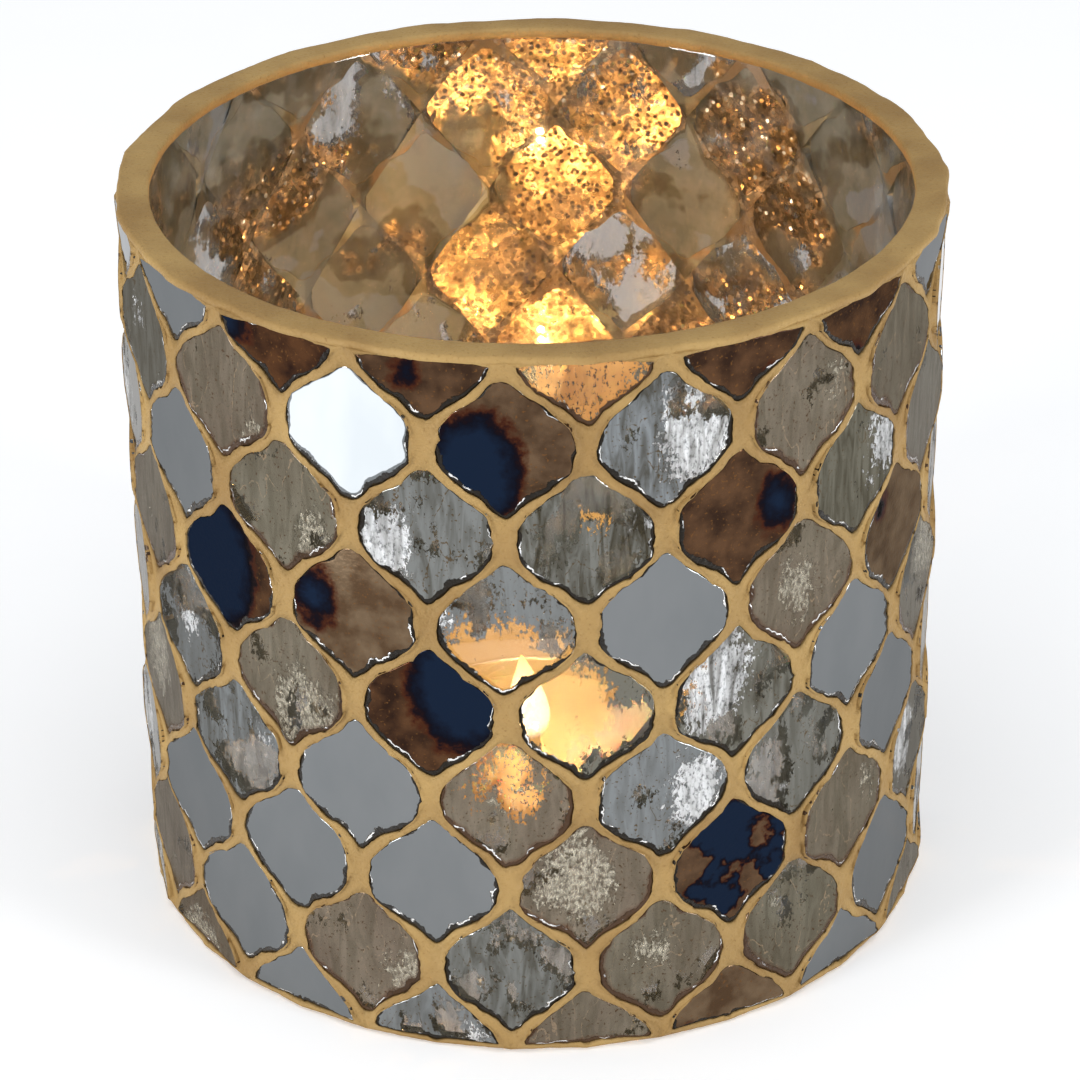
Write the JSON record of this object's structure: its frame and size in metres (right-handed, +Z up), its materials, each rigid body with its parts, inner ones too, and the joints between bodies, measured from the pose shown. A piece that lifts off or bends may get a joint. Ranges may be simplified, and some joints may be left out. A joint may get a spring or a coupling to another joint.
{
  "type": "mosaic tealight holder",
  "caption": "Round open glass cup faced with lantern-shaped mirror and coloured glass mosaic in gold grout, with a lit tealight standing inside",
  "frame": {"origin": "on the standing surface, on the cup's axis", "axes": "+Z up along the cup's axis, front faces -Y, +X is the viewer's right"},
  "size_m": [0.1006, 0.1006, 0.094],
  "materials": {
    "clear_glass": "polished clear",
    "adhesive": "clear cured adhesive",
    "gold_grout": "matte ochre-gold grout",
    "mirror_glass": "silvered, slightly uneven",
    "silver_glass": "antiqued silver, mottled and part clear",
    "champagne_glass": "champagne-taupe translucent mirror",
    "burnt_glass": "oxidised brown and blue",
    "aluminium": "thin pressed foil",
    "wax": "white paraffin, melted on top",
    "tin_plate": "tinned",
    "wick": "waxed cotton, burnt tip"
  },
  "bodies": {
    "holder": {"glass_cup": "clear_glass", "adhesive_film": "adhesive", "grout": "gold_grout", "rim_cap": "gold_grout", "mirror_tiles_row1": "mirror_glass", "mirror_tiles_row2": "mirror_glass", "mirror_tiles_row3": "mirror_glass", "mirror_tiles_row4": "mirror_glass", "mirror_tiles_row5": "mirror_glass", "mirror_tiles_row6": "mirror_glass", "mirror_tiles_row7": "mirror_glass", "mirror_tiles_row8": "mirror_glass", "mirror_tiles_row9": "mirror_glass", "silver_tiles_row1": "silver_glass", "silver_tiles_row2": "silver_glass", "silver_tiles_row3": "silver_glass", "silver_tiles_row4": "silver_glass", "silver_tiles_row5": "silver_glass", "silver_tiles_row6": "silver_glass", "silver_tiles_row7": "silver_glass", "silver_tiles_row8": "silver_glass", "silver_tiles_row9": "silver_glass", "champagne_tiles_row1": "champagne_glass", "champagne_tiles_row2": "champagne_glass", "champagne_tiles_row3": "champagne_glass", "champagne_tiles_row4": "champagne_glass", "champagne_tiles_row5": "champagne_glass", "champagne_tiles_row6": "champagne_glass", "champagne_tiles_row7": "champagne_glass", "champagne_tiles_row8": "champagne_glass", "champagne_tiles_row9": "champagne_glass", "burnt_tiles_row1": "burnt_glass", "burnt_tiles_row2": "burnt_glass", "burnt_tiles_row3": "burnt_glass", "burnt_tiles_row4": "burnt_glass", "burnt_tiles_row5": "burnt_glass", "burnt_tiles_row6": "burnt_glass", "burnt_tiles_row7": "burnt_glass", "burnt_tiles_row8": "burnt_glass", "burnt_tiles_row9": "burnt_glass"},
    "tealight": {"tealight_cup": "aluminium", "tealight_wax": "wax", "wick_clip": "tin_plate", "wick": "wick"}
  },
  "joints": [
    {"name": "tealight_lift", "type": "slide", "parent": "holder", "child": "tealight", "axis": [0, 0, 1], "range_m": [0, 0.1]}
  ]
}
